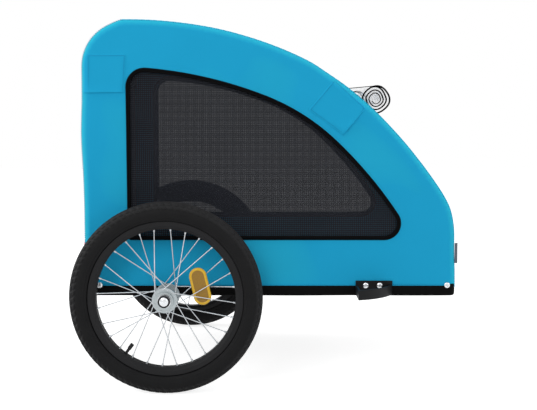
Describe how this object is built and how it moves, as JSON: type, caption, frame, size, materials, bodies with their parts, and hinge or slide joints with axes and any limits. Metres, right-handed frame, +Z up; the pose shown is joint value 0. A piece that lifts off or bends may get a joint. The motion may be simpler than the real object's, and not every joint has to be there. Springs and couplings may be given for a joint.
{
  "type": "dog bicycle trailer",
  "caption": "Dog trailer for a bicycle: sewn cover with net windows over a tube frame, spoked quick-release wheels, a zipped rear door and a rolled clear rain cover.",
  "frame": {"origin": "on the ground, under the middle of the trailer's overall box", "axes": "+X forward, +Y to the trailer's left, +Z up"},
  "size_m": [0.8121, 0.733, 0.7749],
  "materials": {
    "cover_fabric": "woven, coated",
    "dark_fabric": "woven, matt",
    "net_fabric": "open knit",
    "clear_vinyl": "clear, glossy",
    "frame_paint": "powder coat, satin",
    "floor_board": "fine grain",
    "dark_plastic": "moulded, satin",
    "bright_steel": "plated, bright",
    "dark_steel": "blackened",
    "hub_alloy": "satin",
    "rim_paint": "black, satin",
    "tyre_rubber": "moulded tread",
    "tube_rubber": "smooth",
    "amber_lens": "prismatic",
    "red_lens": "prismatic"
  },
  "bodies": {
    "chassis": {"base_rail_right": "frame_paint", "base_rail_left": "frame_paint", "front_cross_tube": "frame_paint", "rear_cross_tube": "frame_paint", "axle_beam": "frame_paint", "floor_panel": "floor_board", "side_arch_right": "frame_paint", "side_arch_left": "frame_paint", "rear_crossbar": "frame_paint", "front_crossbar": "frame_paint", "crossbar_clips": "dark_plastic", "drawbar_socket": "frame_paint", "skirt_band": "dark_fabric", "side_panel_right": "cover_fabric", "side_panel_left": "cover_fabric", "window_border_right": "dark_fabric", "window_border_left": "dark_fabric", "window_mesh_right": "net_fabric", "window_mesh_left": "net_fabric", "window_binding_right": "dark_fabric", "window_binding_left": "dark_fabric", "roof_panel": "cover_fabric", "front_panel": "cover_fabric", "front_mesh": "net_fabric", "rain_cover_roll": "clear_vinyl", "cover_tabs": "cover_fabric", "side_deflector_right": "dark_plastic", "side_deflector_left": "dark_plastic", "frame_screws": "bright_steel", "seam_tag": "dark_fabric"},
    "door": {"rear_door": "cover_fabric", "rear_reflectors": "red_lens"},
    "right_axle": {"axle_pin_right": "dark_steel", "lock_balls_right": "bright_steel"},
    "right_button": {"release_button_right": "bright_steel"},
    "right_wheel": {"tyre_right": "tyre_rubber", "inner_tube_right": "tube_rubber", "rim_right": "rim_paint", "spokes_right": "bright_steel", "nipples_right": "bright_steel", "valve_right": "tube_rubber", "spoke_reflector_right": "amber_lens", "hub_shell_right": "hub_alloy", "hub_bearings_right": "bright_steel"},
    "right_zip": {"zip_slider_right": "dark_steel"},
    "left_axle": {"axle_pin_left": "dark_steel", "lock_balls_left": "bright_steel"},
    "left_button": {"release_button_left": "bright_steel"},
    "left_wheel": {"tyre_left": "tyre_rubber", "inner_tube_left": "tube_rubber", "rim_left": "rim_paint", "spokes_left": "bright_steel", "nipples_left": "bright_steel", "valve_left": "tube_rubber", "spoke_reflector_left": "amber_lens", "hub_shell_left": "hub_alloy", "hub_bearings_left": "bright_steel"},
    "left_zip": {"zip_slider_left": "dark_steel"}
  },
  "joints": [
    {"name": "rear_door_hinge", "type": "hinge", "parent": "chassis", "child": "door", "pos_m": [-0.30106, 0, 0.775], "axis": [0, 1, 0], "range_deg": [0, 110]},
    {"name": "right_wheel_release", "type": "slide", "parent": "chassis", "child": "right_axle", "axis": [0, -1, 0], "range_m": [0, 0.13]},
    {"name": "right_wheel_spin", "type": "hinge", "parent": "right_axle", "child": "right_wheel", "pos_m": [-0.20605, -0.32, 0.2], "axis": [0, 1, 0], "continuous": true},
    {"name": "right_release_button", "type": "slide", "parent": "right_axle", "child": "right_button", "axis": [0, 1, 0], "range_m": [0, 0.004], "stiffness_N_per_m": 800},
    {"name": "right_zip", "type": "slide", "parent": "chassis", "child": "right_zip", "axis": [0, 0, 1], "range_m": [0, 0.42]},
    {"name": "left_wheel_release", "type": "slide", "parent": "chassis", "child": "left_axle", "axis": [0, 1, 0], "range_m": [0, 0.13]},
    {"name": "left_wheel_spin", "type": "hinge", "parent": "left_axle", "child": "left_wheel", "pos_m": [-0.20605, 0.32, 0.2], "axis": [0, 1, 0], "continuous": true},
    {"name": "left_release_button", "type": "slide", "parent": "left_axle", "child": "left_button", "axis": [0, -1, 0], "range_m": [0, 0.004], "stiffness_N_per_m": 800},
    {"name": "left_zip", "type": "slide", "parent": "chassis", "child": "left_zip", "axis": [0, 0, 1], "range_m": [0, 0.42]}
  ]
}
